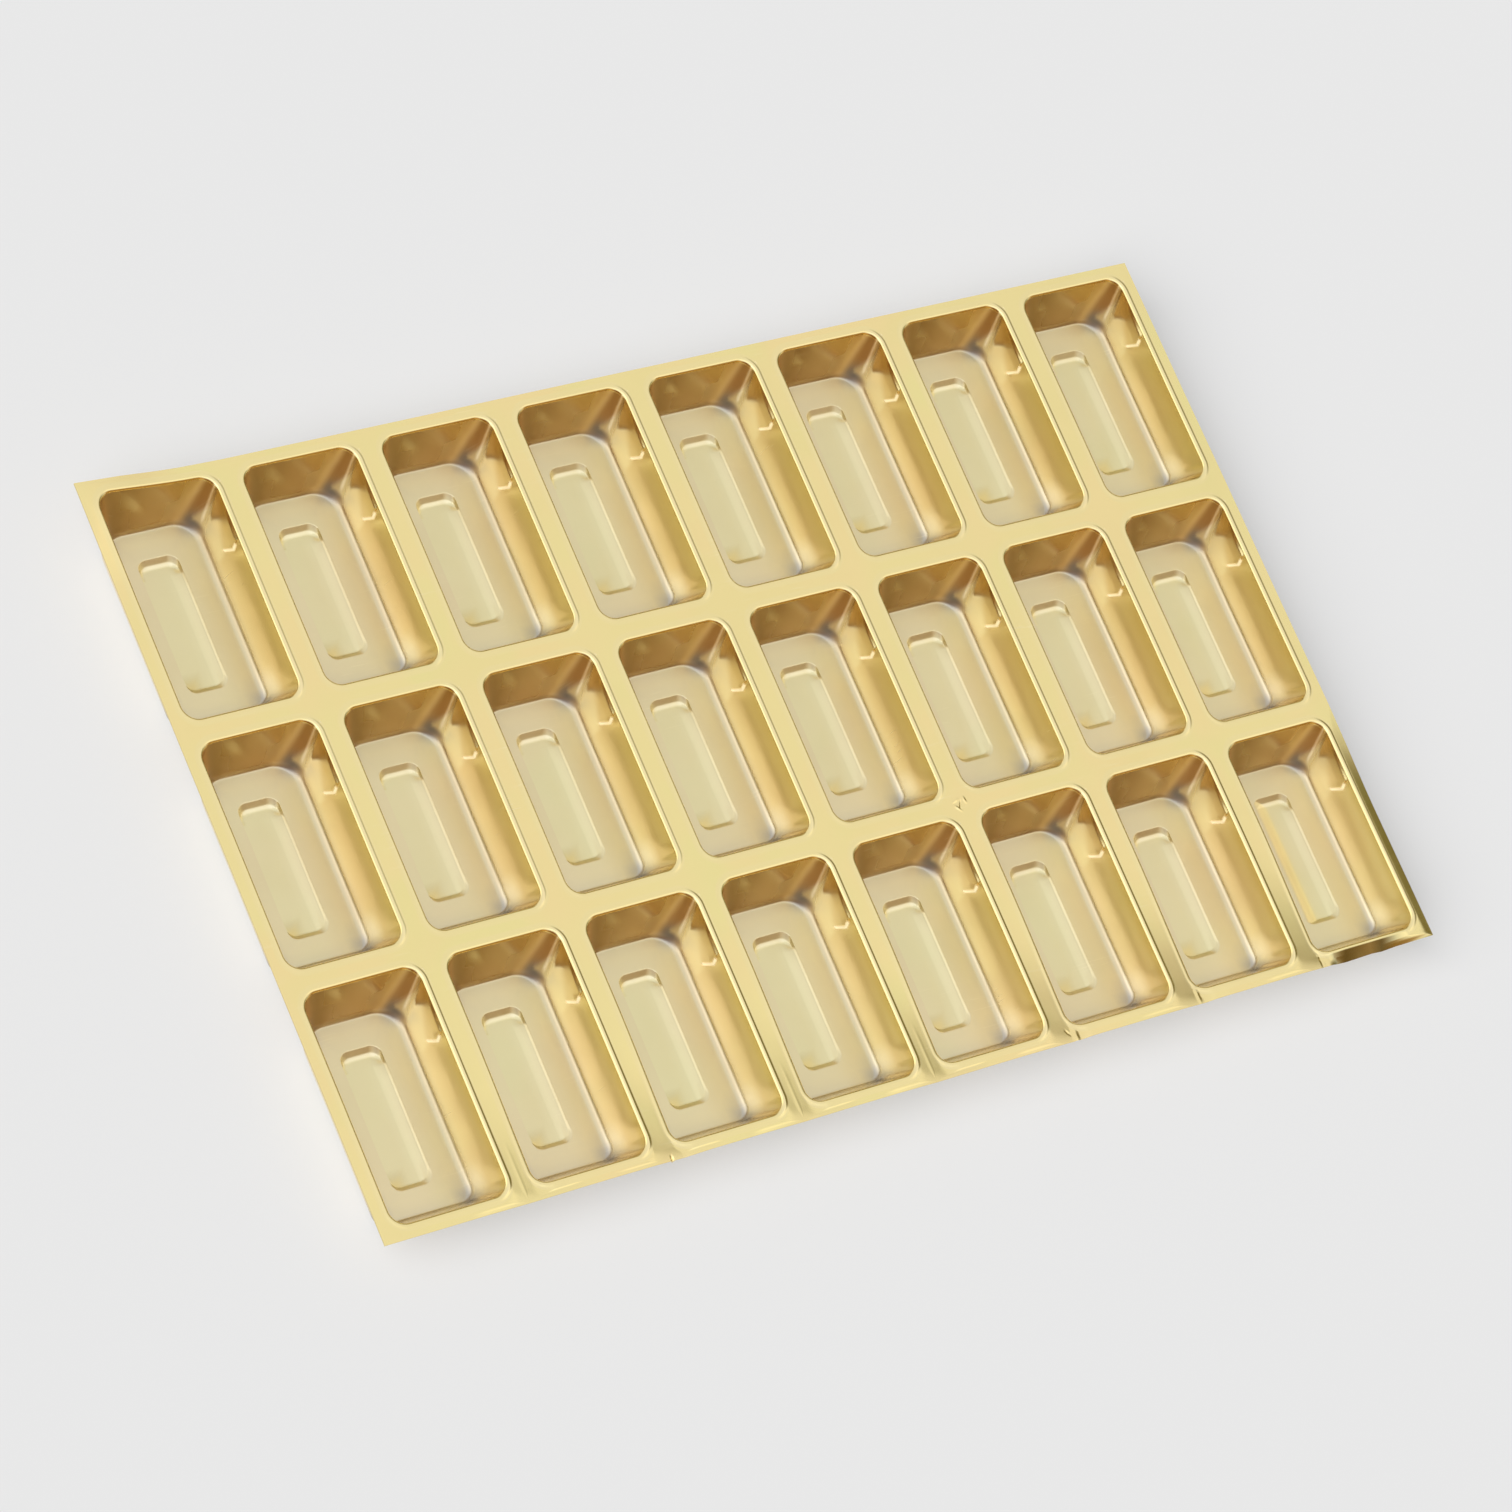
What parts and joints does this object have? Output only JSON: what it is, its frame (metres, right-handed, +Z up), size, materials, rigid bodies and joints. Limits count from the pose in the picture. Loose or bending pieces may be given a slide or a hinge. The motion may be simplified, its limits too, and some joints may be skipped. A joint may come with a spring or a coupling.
{
  "type": "pocketed insert tray",
  "caption": "Thin gold formed tray: a flat rectangular deck with rows of drafted oblong pockets, each with a raised rim, a sunk floor panel and a stacking lug, to hold small sweets apart.",
  "frame": {"origin": "under the middle of the deck, on the surface that the sunk floor panels stand on", "axes": "+X along a row of pockets, towards the walls that carry the lugs; +Y along a pocket, towards the end where the lugs are; +Z up, out of the pockets' mouths"},
  "size_m": [0.3, 0.19, 0.015],
  "materials": {
    "deck_film": "gold metallised plastic film, satin gloss",
    "pocket_film": "gold metallised plastic film, drawn thinner and paler on the floors"
  },
  "bodies": {
    "root": {"deck": "deck_film", "pocket_a1": "pocket_film", "pocket_a2": "pocket_film", "pocket_a3": "pocket_film", "pocket_a4": "pocket_film", "pocket_a5": "pocket_film", "pocket_a6": "pocket_film", "pocket_a7": "pocket_film", "pocket_a8": "pocket_film", "pocket_b1": "pocket_film", "pocket_b2": "pocket_film", "pocket_b3": "pocket_film", "pocket_b4": "pocket_film", "pocket_b5": "pocket_film", "pocket_b6": "pocket_film", "pocket_b7": "pocket_film", "pocket_b8": "pocket_film", "pocket_c1": "pocket_film", "pocket_c2": "pocket_film", "pocket_c3": "pocket_film", "pocket_c4": "pocket_film", "pocket_c5": "pocket_film", "pocket_c6": "pocket_film", "pocket_c7": "pocket_film", "pocket_c8": "pocket_film"}
  },
  "joints": []
}
